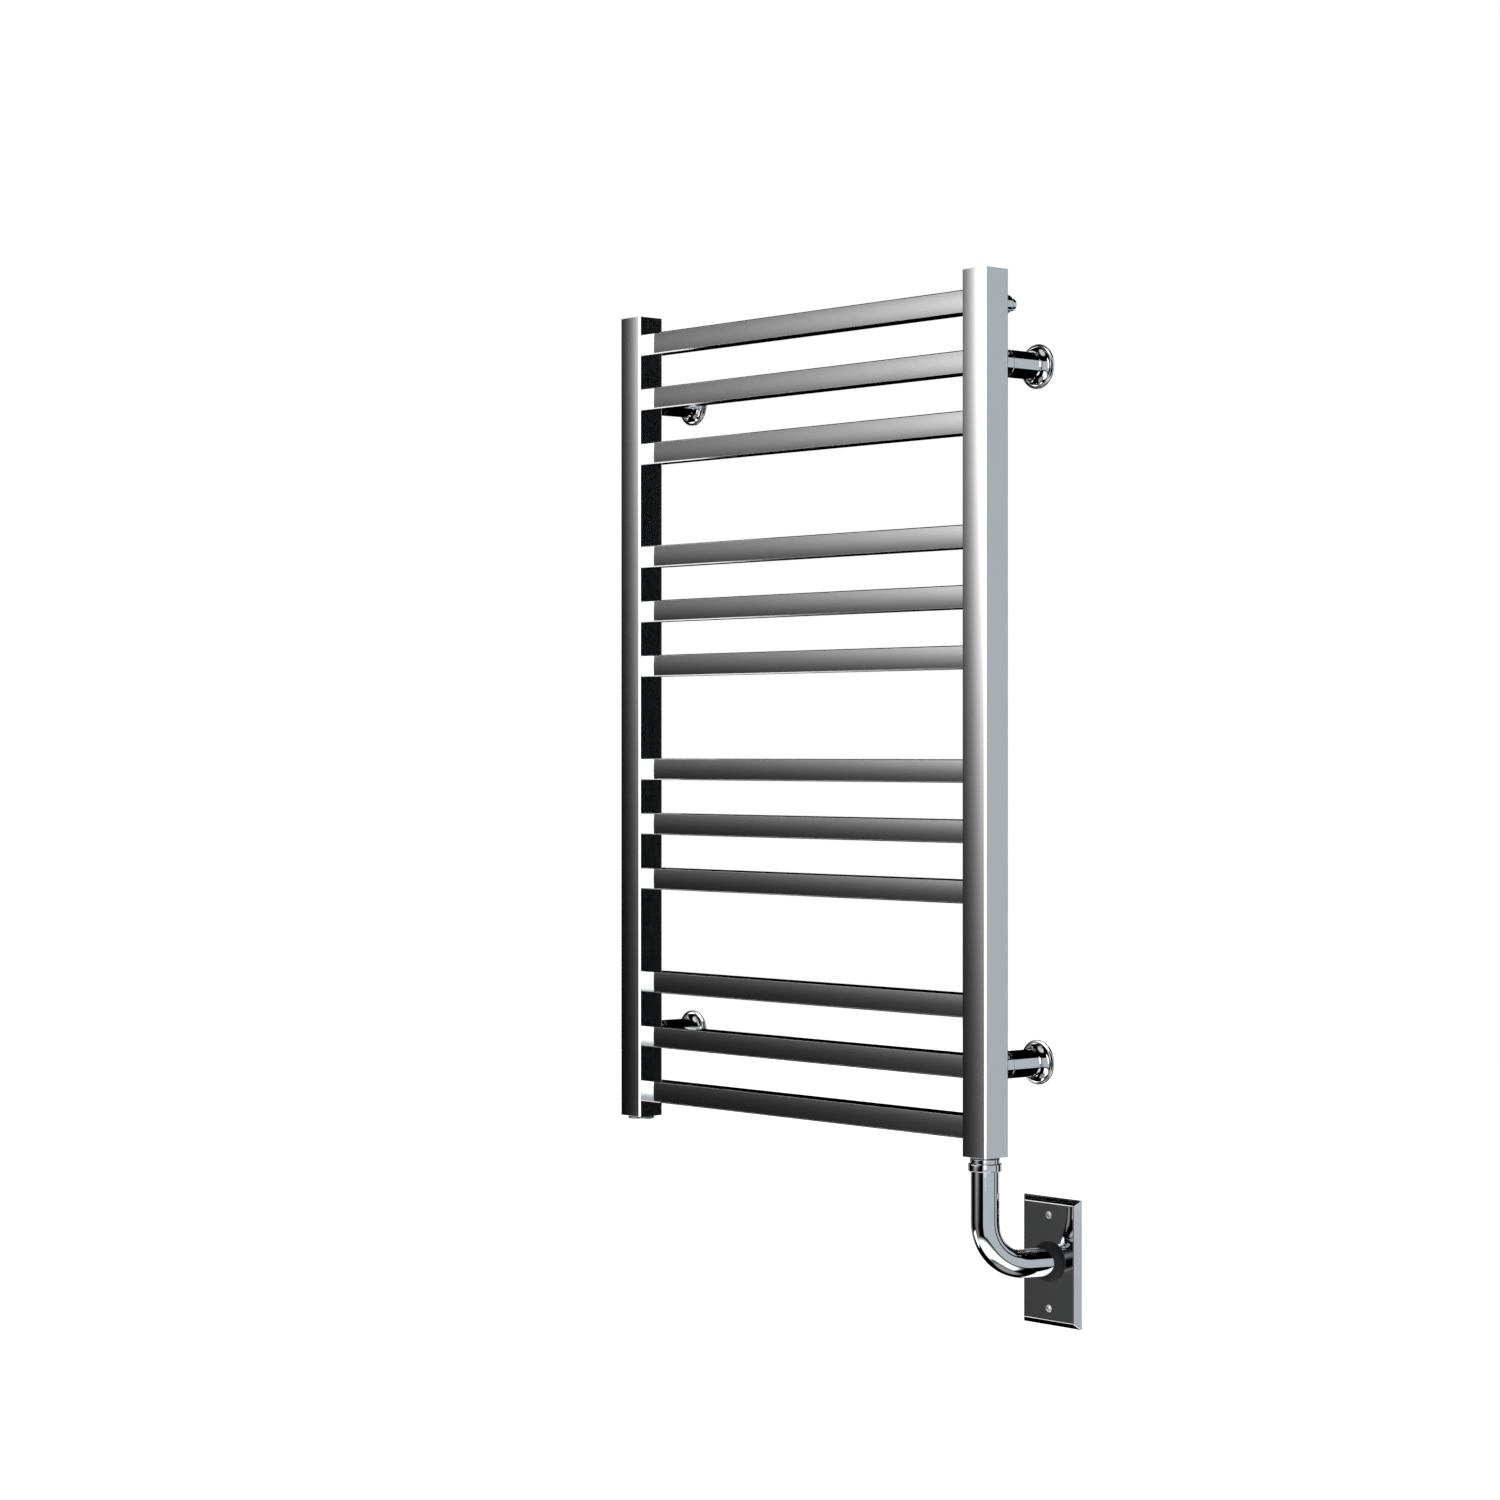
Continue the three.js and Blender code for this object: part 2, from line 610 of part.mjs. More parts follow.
/** The grommet: a collar in the plate's hole under a rounded shoulder. */
function grommet() {
  const low = PLATE_THICKNESS + GAP;
  const high = PLATE_THICKNESS + GROMMET_HEIGHT;
  const shoulder = low + GROMMET_BASE;
  const shoulderSteps = 6;
  const points = [[0, low], [GROMMET_RADIUS, low], [GROMMET_RADIUS, shoulder]];
  for (let i = 1; i <= shoulderSteps; i += 1) {
    const turn = (i / shoulderSteps) * (Math.PI / 2);
    points.push([GROMMET_LIP + (GROMMET_RADIUS - GROMMET_LIP) * Math.cos(turn),
      shoulder + (high - shoulder) * Math.sin(turn)]);
  }
  points.push([0, high]);
  return cut(towardsRoom(turned(points)), [plateOpening(CONDUIT_RADIUS + GAP)]);
}

/** A countersunk screw with a slightly raised, slotted head. */
function plateScrew() {
  const tip = 0.2;
  const crown = PLATE_THICKNESS + 0.3;
  const seat = PLATE_THICKNESS - SCREW_SEAT;
  const slotDepth = 1.2;
  const slotWidth = 0.9;
  const slot = new THREE.BoxGeometry(4 * SCREW_RADIUS, 2 * slotDepth, slotWidth);
  const body = turned([[0, tip], [SCREW_SHANK, tip], [SCREW_SHANK, SCREW_NECK],
    [SCREW_RADIUS, seat], [SCREW_RADIUS, PLATE_THICKNESS], [SCREW_RADIUS - 0.5, crown],
    [0, crown]], SMALL_STEPS);
  return cut(towardsRoom(body), [slot.translate(0, -crown, 0)]);
}

const platePlace = [plateX, 0, plateZ];
add("wall_plate", wallPlate(), chrome, platePlace);
add("grommet", grommet(), rubber, platePlace);
add("upper_plate_screw", plateScrew(), chrome, [plateX, 0, plateZ + PLATE_SCREW_PITCH / 2]);
add("lower_plate_screw", plateScrew(), chrome, [plateX, 0, plateZ - PLATE_SCREW_PITCH / 2]);

export default rack;
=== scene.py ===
"""A wall-hung electric towel warmer rack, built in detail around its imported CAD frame."""

from math import atan2, cos, pi, radians, sin, sqrt, tan

import bmesh
import bpy
from mathutils import Matrix, Vector


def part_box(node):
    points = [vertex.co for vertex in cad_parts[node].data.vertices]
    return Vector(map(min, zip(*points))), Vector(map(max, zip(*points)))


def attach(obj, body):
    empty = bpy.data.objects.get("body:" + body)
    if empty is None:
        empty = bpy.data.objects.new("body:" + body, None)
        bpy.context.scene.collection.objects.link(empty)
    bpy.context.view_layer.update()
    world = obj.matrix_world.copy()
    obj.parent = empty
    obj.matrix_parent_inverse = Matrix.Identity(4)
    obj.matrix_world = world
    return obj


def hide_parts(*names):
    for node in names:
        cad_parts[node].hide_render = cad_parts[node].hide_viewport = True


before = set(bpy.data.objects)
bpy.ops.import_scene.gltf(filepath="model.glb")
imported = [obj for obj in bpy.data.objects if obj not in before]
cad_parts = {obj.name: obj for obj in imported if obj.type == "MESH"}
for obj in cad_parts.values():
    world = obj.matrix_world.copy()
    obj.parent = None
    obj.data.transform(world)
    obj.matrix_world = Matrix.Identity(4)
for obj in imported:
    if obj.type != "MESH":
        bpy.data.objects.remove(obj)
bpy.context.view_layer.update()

MM = 0.001
ROUND_STEPS = 96
SCREW_STEPS = 48
GRUB_STEPS = 32
HEXAGON = 6
CORNER_STEPS = 5
SHARP_ANGLE = 32
FLAT_SIDED_SHARP = 50
TINY = 1e-7
SAME_LEVEL = 1e-6
SEAM_GAP = 0.3 * MM

UP = (0, 0, 1)
DOWN = Vector((0, 0, -1))
TOWARDS_ROOM = (0, -1, 0)
TOWARDS_WALL = (0, 1, 0)


# ---- Places and sizes, from the frame ----


def low(node):
    return Vector(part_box(node)[0])


def high(node):
    return Vector(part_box(node)[1])


def middle(node):
    return (low(node) + high(node)) / 2


def size(node):
    return high(node) - low(node)


BRACKETS = ("upper_left", "upper_right", "lower_left", "lower_right")
BARS = [f"bar_{number:02d}" for number in range(1, 13)]
SIDES = ("left", "right")

UPRIGHT_CROWN = 0.4 * MM
UPRIGHT_CHAMFER = 1.5 * MM
UPRIGHT_BACK_ROUND = 1.6 * MM
BAR_CROWN = 0.3 * MM
BAR_CHAMFER = 1.0 * MM
BAR_ROUND = 1.2 * MM
CAP_EDGE = 0.35 * MM
CORNER_SOFTNESS = 0.2

PLATE_X = middle("wall_plate").x
PLATE_Z = middle("wall_plate").z
CONDUIT_RADIUS = 12.7 * MM
CONDUIT_WALL = 1.6 * MM
CONDUIT_BEND = 40 * MM
UPRIGHT_BACK = high("right_upright").y
UPRIGHT_CORNER = low("right_upright").y + UPRIGHT_CROWN
CONDUIT_X = middle("right_upright").x
CONDUIT_Y = (UPRIGHT_BACK + UPRIGHT_CORNER) / 2
PLATE_FRONT = low("wall_plate").y
FOOT = low("right_bottom_cap").z

# The conduit's level run is turned from square to the wall by this angle, to meet the plate's centre.
SWIVEL = atan2(PLATE_X - CONDUIT_X, PLATE_FRONT - CONDUIT_Y)


# ---- Camera ----

CAMERA_PLACE = Vector((2.395, -2.2597, -0.0318))
CAMERA_YAW = radians(48.42)
CAMERA_LENS = 83.56
SENSOR_WIDTH = 36


def make_camera():
    camera = bpy.data.objects.new("camera", bpy.data.cameras.new("camera"))
    camera.data.lens = CAMERA_LENS
    camera.data.sensor_width = SENSOR_WIDTH
    camera.location = CAMERA_PLACE
    camera.rotation_euler = (pi / 2, 0, CAMERA_YAW)
    bpy.context.scene.collection.objects.link(camera)
    bpy.context.scene.camera = camera


make_camera()


# ---- Node helpers ----


def new_material(name):
    material = bpy.data.materials.new(name)
    material.use_nodes = True
    nodes = material.node_tree.nodes
    return material, nodes, material.node_tree.links, nodes["Principled BSDF"]


def ramp(nodes, stops):
    """A colour ramp through (position, grey or colour) stops."""
    node = nodes.new("ShaderNodeValToRGB")
    elements = node.color_ramp.elements
    while len(elements) < len(stops):
        elements.new(0.5)
    for element, (position, value) in zip(elements, stops):
        element.position = position
        element.color = (value, value, value, 1) if isinstance(value, float) else (*value, 1)
    return node


def noise(nodes, links, scale, stretch=(1, 1, 1), detail=4.0, roughness=0.5):
    """Noise fixed to the object, drawn out along an axis where its stretch is below one."""
    coordinates = nodes.new("ShaderNodeTexCoord")
    mapping = nodes.new("ShaderNodeMapping")
    mapping.inputs["Scale"].default_value = stretch
    texture = nodes.new("ShaderNodeTexNoise")
    texture.inputs["Scale"].default_value = scale
    texture.inputs["Detail"].default_value = detail
    texture.inputs["Roughness"].default_value = roughness
    links.new(coordinates.outputs["Object"], mapping.inputs["Vector"])
    links.new(mapping.outputs["Vector"], texture.inputs["Vector"])
    return texture


def bump(nodes, links, height, strength, distance, shader):
    node = nodes.new("ShaderNodeBump")
    node.inputs["Strength"].default_value = strength
    node.inputs["Distance"].default_value = distance
    links.new(height, node.inputs["Height"])
    links.new(node.outputs["Normal"], shader.inputs["Normal"])


# ---- Materials ----

METAL_CLOUDS = 18.0
MATT_CLOUDS = 90.0
GRAIN_STRENGTH = 0.25
SPECKLE_STRENGTH = 0.3


def mottle(nodes, links, shader, scale, light, dark):
    """Drifts the base colour between a dark and a light tone."""
    cloud = noise(nodes, links, scale)
    tone = ramp(nodes, [(0.35, dark), (0.65, light)])
    links.new(cloud.outputs["Fac"], tone.inputs["Fac"])
    links.new(tone.outputs["Color"], shader.inputs["Base Color"])


def metal(name, light, dark, rough_low, rough_high, grain=(1, 1, 1), grain_scale=60.0, grain_depth=0.0):
    """Plated or polished metal: faint tone and roughness drift, with an optional drawn grain."""
    material, nodes, links, shader = new_material(name)
    shader.inputs["Metallic"].default_value = 1.0
    mottle(nodes, links, shader, METAL_CLOUDS, light, dark)
    streaks = noise(nodes, links, grain_scale, grain, detail=6.0, roughness=0.6)
    polish = ramp(nodes, [(0.3, rough_low), (0.7, rough_high)])
    links.new(streaks.outputs["Fac"], polish.inputs["Fac"])
    links.new(polish.outputs["Color"], shader.inputs["Roughness"])
    if grain_depth > 0:
        bump(nodes, links, streaks.outputs["Fac"], GRAIN_STRENGTH, grain_depth, shader)
    return material


def matt(name, light, dark, rough, speckle_scale, speckle_depth, sheen=0.0):
    """Rubber, fibre or plastic: mottled, with a fine moulded texture."""
    material, nodes, links, shader = new_material(name)
    shader.inputs["Roughness"].default_value = rough
    shader.inputs["Sheen Weight"].default_value = sheen
    mottle(nodes, links, shader, MATT_CLOUDS, light, dark)
    speckle = noise(nodes, links, speckle_scale, detail=3.0)
    bump(nodes, links, speckle.outputs["Fac"], SPECKLE_STRENGTH, speckle_depth, shader)
    return material


ALONG_X = (0.02, 1, 1)
ALONG_Z = (1, 1, 0.02)
LATHE_RINGS = (1, 0.05, 1)
STEEL_GRAIN = 1400.0
STEEL_GRAIN_DEPTH = 0.000002

bar_steel = metal("bar_steel", (0.81, 0.81, 0.81), (0.79, 0.79, 0.79), 0.07, 0.10, ALONG_X,
                  STEEL_GRAIN, STEEL_GRAIN_DEPTH)
upright_steel = metal("upright_steel", (0.81, 0.81, 0.81), (0.79, 0.79, 0.79), 0.07, 0.10, ALONG_Z,
                      STEEL_GRAIN, STEEL_GRAIN_DEPTH)
chrome = metal("fitting_chrome", (0.84, 0.85, 0.86), (0.81, 0.82, 0.83), 0.03, 0.06)
plate_chrome = metal("plate_chrome", (0.80, 0.81, 0.82), (0.77, 0.78, 0.79), 0.03, 0.05)
screw_steel = metal("screw_steel", (0.95, 0.95, 0.95), (0.92, 0.92, 0.92), 0.30, 0.36)
brass = metal("turned_brass", (0.80, 0.62, 0.30), (0.70, 0.53, 0.24), 0.22, 0.34, LATHE_RINGS, 700.0,
              0.00002)
sheath = metal("element_sheath", (0.60, 0.60, 0.61), (0.50, 0.50, 0.51), 0.3, 0.42, ALONG_Z, 700.0,
               0.00003)
rubber = matt("grommet_rubber", (0.010, 0.010, 0.011), (0.005, 0.005, 0.006), 0.75, 900.0, 0.00008,
              0.03)
fibre = matt("washer_fibre", (0.07, 0.07, 0.075), (0.045, 0.045, 0.05), 0.7, 1500.0, 0.0001)
LEAD_MATERIALS = {
    "live_lead": matt("live_insulation", (0.03, 0.03, 0.03), (0.02, 0.02, 0.02), 0.45, 500.0, 0.00003),
    "neutral_lead": matt("neutral_insulation", (0.80, 0.79, 0.76), (0.72, 0.71, 0.68), 0.45, 500.0,
                         0.00003),
    "earth_lead": matt("earth_insulation", (0.06, 0.28, 0.10), (0.04, 0.22, 0.07), 0.45, 500.0,
                       0.00003),
}


# ---- Mesh helpers ----


def rounded(corners, closed=True):
    """A polyline from (a, b, radius) corners, each corner turned into an arc of that radius."""
    points = []
    count = len(corners)
    for i, (a, b, radius) in enumerate(corners):
        here = Vector((a, b))
        if radius <= 0 or (not closed and i in (0, count - 1)):
            points.append(here)
            continue
        to_last = (Vector(corners[i - 1][:2]) - here).normalized()
        to_next = (Vector(corners[(i + 1) % count][:2]) - here).normalized()
        half = to_last.angle(to_next) / 2
        centre = here + (to_last + to_next).normalized() * (radius / sin(half))
        start = here + to_last * (radius / tan(half)) - centre
        end = here + to_next * (radius / tan(half)) - centre
        sweep = start.angle_signed(end)
        for step in range(CORNER_STEPS + 1):
            spin = Matrix.Rotation(-sweep * step / CORNER_STEPS, 2)
            points.append(centre + spin @ start)
    return points


def finish_mesh(name, built, sharp=SHARP_ANGLE):
    """An object from a bmesh: welded, faces out, smooth except across sharp edges."""
    bmesh.ops.remove_doubles(built, verts=built.verts, dist=TINY)
    bmesh.ops.recalc_face_normals(built, faces=built.faces)
    mesh = bpy.data.meshes.new(name)
    built.to_mesh(mesh)
    built.free()
    smooth(mesh, sharp)
    piece = bpy.data.objects.new(name, mesh)
    bpy.context.scene.collection.objects.link(piece)
    return piece


def smooth(mesh, sharp):
    mesh.polygons.foreach_set("use_smooth", [True] * len(mesh.polygons))
    mesh.set_sharp_from_angle(angle=radians(sharp))


def weigh_normals(piece):
    modifier = piece.modifiers.new("even_shading", "WEIGHTED_NORMAL")
    modifier.keep_sharp = True
    modifier.weight = 100
    return piece


def bridge(built, first, second):
    """Quads between two loops of vertices; a loop of one vertex makes a fan."""
    count = max(len(first), len(second))
    for i in range(count):
        j = (i + 1) % count
        corners = [first[i % len(first)], first[j % len(first)],
                   second[j % len(second)], second[i % len(second)]]
        unique = list(dict.fromkeys(corners))
        if len(unique) > 2:
            built.faces.new(unique)


def turned(name, profile, place, axis, steps=ROUND_STEPS, closed=False):
    """A solid of revolution: (radius, height) points, with height along axis from place."""
    built = bmesh.new()
    turn = Vector((0, 0, 1)).rotation_difference(Vector(axis)).to_matrix()
    rings = []
    for radius, height in profile:
        count = 1 if radius < TINY else steps
        rings.append([built.verts.new(Vector(place) + turn @ Vector(
            (radius * cos(2 * pi * i / steps), radius * sin(2 * pi * i / steps), height)))
            for i in range(count)])
    pairs = list(zip(rings, rings[1:]))
    if closed:
        pairs.append((rings[-1], rings[0]))
    for first, second in pairs:
        bridge(built, first, second)
    return weigh_normals(finish_mesh(name, built))


def rod(name, radius, start, end, place, axis, steps):
    """A plain rod between two heights along the axis, for cutting a hole."""
    return turned(name, [(0, start), (radius, start), (radius, end), (0, end)], place, axis, steps)


def prism(name, outline, corner_at, along):
    """An outline of (a, b) points swept from along[0] to along[1]; corner_at places a point."""
    built = bmesh.new()
    start, end = [[built.verts.new(corner_at(point.x, point.y, distance)) for point in outline]
                  for distance in along]
    bridge(built, start, end)
    built.faces.new(start)
    built.faces.new(end)
    return weigh_normals(finish_mesh(name, built, sharp=FLAT_SIDED_SHARP))


def crowned(half_width, front, back, crown, chamfer, back_round, crown_steps=24):
    """A D-shaped outline: (across, depth) points, bowed out between chamfered front corners."""
    arc_radius = (half_width ** 2 + crown ** 2) / (2 * crown)
    reach = half_width - chamfer
    bow = []
    for i in range(crown_steps + 1):
        across = -reach + 2 * reach * i / crown_steps
        bow.append((across, front + arc_radius - crown - sqrt(arc_radius ** 2 - across ** 2), 0))
    edge = bow[0][1]
    soft = CORNER_SOFTNESS * chamfer
    bow[0] = (-reach, edge, soft)
    bow[-1] = (reach, edge, soft)
    return rounded(bow + [(half_width, edge + chamfer, soft), (half_width, back, back_round),
                          (-half_width, back, back_round), (-half_width, edge + chamfer, soft)])


def swept(name, path, radius, sides, bore=0.0):
    """A round tube along a bent, planar path of (place, tangent) stations, with an optional bore."""
    built = bmesh.new()
    across = path[0][1].cross(path[-1][1]).normalized()

    def loops(size_of_ring):
        rings = []
        for place, tangent in path:
            normal = tangent.cross(across).normalized()
            rings.append([built.verts.new(place + size_of_ring * (
                cos(2 * pi * i / sides) * normal + sin(2 * pi * i / sides) * across))
                for i in range(sides)])
        for first, second in zip(rings, rings[1:]):
            bridge(built, first, second)
        return rings

    outer = loops(radius)
    if bore > 0:
        inner = loops(bore)
        bridge(built, outer[0], inner[0])
        bridge(built, outer[-1], inner[-1])
    else:
        built.faces.new(outer[0])
        built.faces.new(outer[-1])
    return finish_mesh(name, built)


def carve(piece, tools, sharp=SHARP_ANGLE):
    """Cuts closed tool objects out of a piece and deletes them."""
    for tool in tools:
        modifier = piece.modifiers.new("cut", "BOOLEAN")
        modifier.operation = "DIFFERENCE"
        modifier.solver = "EXACT"
        modifier.object = tool
    for modifier in [m for m in piece.modifiers if m.type == "WEIGHTED_NORMAL"]:
        piece.modifiers.remove(modifier)
    graph = bpy.context.evaluated_depsgraph_get()
    mesh = bpy.data.meshes.new_from_object(piece.evaluated_get(graph))
    piece.modifiers.clear()
    old = piece.data
    piece.data = mesh
    bpy.data.meshes.remove(old)
    mesh.name = piece.name
    for tool in tools:
        bpy.data.objects.remove(tool)
    smooth(mesh, sharp)
    return weigh_normals(piece)


def dress(piece, material, body, slot, *nodes):
    """Gives a piece its material and body, and hides the CAD nodes it stands for; the record slot is not
    used.
    """
    piece.data.materials.clear()
    piece.data.materials.append(material)
    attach(piece, body)
    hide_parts(*nodes)


# ---- Uprights and caps ----


def make_upright(side):
    node = f"{side}_upright"
    centre = middle(node).x
    half = size(node).x / 2
    outline = crowned(half, UPRIGHT_CORNER, UPRIGHT_BACK, UPRIGHT_CROWN, UPRIGHT_CHAMFER,
                      UPRIGHT_BACK_ROUND)

    def standing(across, depth, height):
        return Vector((centre + across, depth, height))

    foot = low(f"{side}_bottom_cap").z
    head = high(f"{side}_top_cap").z
    lower_seam = high(f"{side}_bottom_cap").z
    upper_seam = low(f"{side}_top_cap").z
    tube = prism(f"{side}_upright_tube", outline, standing, (lower_seam, upper_seam))
    dress(tube, upright_steel, "rack", "polished_steel", node)
    for name, rim, seam in ((f"{side}_top_cap", head, upper_seam),
                            (f"{side}_bottom_cap", foot, lower_seam)):
        cap = prism(f"{name}_plate", outline, standing, sorted((rim, seam)))
        break_edge(cap, rim)
        dress(cap, upright_steel, "rack", "polished_steel", name)


def break_edge(cap, rim):
    """Softens only the edge at the rim's height, and shades it before the weighted normals."""
    group = cap.vertex_groups.new(name="outer_rim")
    group.add([v.index for v in cap.data.vertices if abs(v.co.z - rim) < SAME_LEVEL], 1.0, "ADD")
    soften = cap.modifiers.new("broken_edge", "BEVEL")
    soften.width = CAP_EDGE
    soften.segments = 3
    soften.limit_method = "VGROUP"
    soften.vertex_group = group.name
    cap.modifiers.move(1, 0)


for side_name in SIDES:
    make_upright(side_name)


# ---- Bars ----


def make_bar(node):
    centre = middle(node).z
    half = size(node).z / 2
    front = low(node).y + BAR_CROWN
    outline = crowned(half, front, high(node).y, BAR_CROWN, BAR_CHAMFER, BAR_ROUND, crown_steps=14)
    left = high("left_upright").x
    right = low("right_upright").x
    bar = prism(f"{node}_tube", outline, lambda up, depth, along: Vector((along, depth, centre + up)),
                (left, right))
    dress(bar, bar_steel, "rack", "polished_steel", node)


for bar_node in BARS:
    make_bar(bar_node)


# ---- Brackets ----

TUBE_WALL = 2.5 * MM
BOSS_FILLET = 1.6 * MM
SPIGOT_INSET = 2.8 * MM
SPIGOT_WALL = 1.7 * MM
SPIGOT_ROOT = 4.3 * MM
GRUB_TILT = radians(40)
GRUB_RADIUS = 2 * MM
GRUB_LENGTH = 4 * MM
GRUB_PROUD = 0.2 * MM
GRUB_HOLE = 2.35 * MM
GRUB_SOCKET = 1.05 * MM
GRUB_SOCKET_DEPTH = 1.5 * MM
ANCHOR_BORE = 2.7 * MM
ANCHOR_HUB = 6.5 * MM
ANCHOR_FLANGE = 5 * MM
ANCHOR_CONE = 2.5 * MM
ROSETTE_RIM = 1.6 * MM
ROSETTE_STEP = 1.2 * MM
ROSETTE_RISE = 0.25 * MM
ROSETTE_NECK = 0.85 * MM
ROSETTE_PLAY = 0.12 * MM
FLARE_STEPS = 20


def make_bracket(name):
    """A boss on the rack, a telescopic post with its wall anchor, a grub screw and a rosette."""
    _, boss_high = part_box(f"{name}_boss")
    radius = size(f"{name}_post").x / 2
    bore = radius - TUBE_WALL
    seam = -boss_high[1]
    wall = middle(f"{name}_post")
    wall.y = 0
    make_boss(name, wall, radius, bore, seam)
    make_grub(name, wall, radius, seam)
    make_post(name, wall, radius, bore, seam)
    make_anchor(name, wall, bore - SEAM_GAP)
    make_rosette(name, wall, radius)


def grub_seat(wall, seam):
    """The middle of the boss, and the direction its grub screw points."""
    centre = wall + Vector((0, -(seam - UPRIGHT_BACK) / 2, 0))
    return centre, Vector((cos(GRUB_TILT), 0, sin(GRUB_TILT)))


def make_boss(name, wall, radius, bore, seam):
    back = -UPRIGHT_BACK
    boss = turned(f"{name}_boss_ring", rounded([
        (bore, seam, 0), (radius, seam, 0.35 * MM), (radius, back - BOSS_FILLET, 0.8 * MM),
        (radius - BOSS_FILLET, back, 0), (bore, back, 0)]), wall, TOWARDS_ROOM, closed=True)
    carve(boss, [rod("drill", GRUB_HOLE, bore * 0.9, radius * 1.1, *grub_seat(wall, seam), GRUB_STEPS)])
    dress(boss, chrome, "rack", "chrome_fittings", f"{name}_boss")


def make_grub(name, wall, radius, seam):
    top = radius + GRUB_PROUD
    end = top - GRUB_LENGTH
    seat = grub_seat(wall, seam)
    grub = turned(f"{name}_grub", rounded([
        (0, end, 0), (GRUB_RADIUS, end, 0.3 * MM), (GRUB_RADIUS, top, 0.35 * MM), (0, top, 0)],
        closed=False), *seat, GRUB_STEPS)
    carve(grub, [rod("socket", GRUB_SOCKET, top - GRUB_SOCKET_DEPTH, top + MM, *seat, HEXAGON)])
    dress(grub, screw_steel, f"{name}_grub_screw", "screw_steel", f"{name}_grub_screw")


def make_post(name, wall, radius, bore, seam):
    """The tube on the wall, with a thinner spigot that slides into the boss."""
    end = -low(f"{name}_post").y
    spigot = radius - SPIGOT_INSET
    shoulder = seam - SEAM_GAP
    root = seam - SPIGOT_ROOT
    post = turned(f"{name}_post_tube", rounded([
        (bore, 0, 0), (radius, 0, 0.3 * MM), (radius, shoulder, 0.35 * MM), (spigot, shoulder, 0),
        (spigot, end, 0.5 * MM), (spigot - SPIGOT_WALL, end, 0.3 * MM), (spigot - SPIGOT_WALL, root, 0),
        (bore, root, 0)]), wall, TOWARDS_ROOM, closed=True)
    dress(post, chrome, f"{name}_post", "chrome_fittings", f"{name}_post")


def make_anchor(name, wall, flange):
    """A flange that fills the post's bore at the wall, with a hub round the screw hole."""
    hub = size(f"{name}_anchor").y
    anchor = turned(f"{name}_anchor_hub", rounded([
        (ANCHOR_BORE, 0, 0.3 * MM), (flange, 0, 0.4 * MM), (flange, ANCHOR_FLANGE, 0.4 * MM),
        (ANCHOR_HUB, ANCHOR_FLANGE, 0.6 * MM), (ANCHOR_HUB, hub, 0.4 * MM), (5 * MM, hub, 0.2 * MM),
        (ANCHOR_BORE, hub - ANCHOR_CONE, 0)]), wall, TOWARDS_ROOM, closed=True)
    dress(anchor, brass, f"{name}_post", "brass", f"{name}_anchor")


def make_rosette(name, wall, post_radius):
    """A thin rim that flares in a hollow curve up to the post."""
    radius = size(f"{name}_rosette").x / 2
    height = size(f"{name}_rosette").y
    bore = post_radius + ROSETTE_PLAY
    neck = bore + ROSETTE_NECK
    start = radius - ROSETTE_STEP
    foot = ROSETTE_RIM + ROSETTE_RISE
    profile = rounded([(bore, 0, 0), (radius, 0, 0.25 * MM), (radius, ROSETTE_RIM, 0.45 * MM),
                       (start, foot, 0)], closed=False)
    for i in range(1, FLARE_STEPS + 1):
        turn = i / FLARE_STEPS * pi / 2
        profile.append(Vector((neck + (start - neck) * (1 - sin(turn)),
                               foot + (height - foot) * (1 - cos(turn)))))
    profile.append(Vector((bore + 0.3 * MM, height)))
    profile.append(Vector((bore, height - 0.3 * MM)))
    piece = turned(f"{name}_rosette_cover", profile, wall, TOWARDS_ROOM, closed=True)
    dress(piece, chrome, f"{name}_rosette", "chrome_fittings", f"{name}_rosette")


for bracket_name in BRACKETS:
    make_bracket(bracket_name)


# ---- Air vent ----

VENT_WASHER = 2.1 * MM
VENT_SHOULDER = 13.5 * MM
VENT_NOSE = 5.6 * MM
VENT_NOSE_START = 14.4 * MM
VENT_SEAT = 11 * MM
VENT_BORE = 3.3 * MM
VENT_SCREW = 3 * MM
VENT_SCREW_START = 11.4 * MM
VENT_WASHER_BORE = 5.3 * MM
SEAL_INSET = 0.5 * MM
SLOT_WIDTH = 1.0 * MM
SLOT_DEPTH = 1.4 * MM
SLOT_LENGTH = 8 * MM


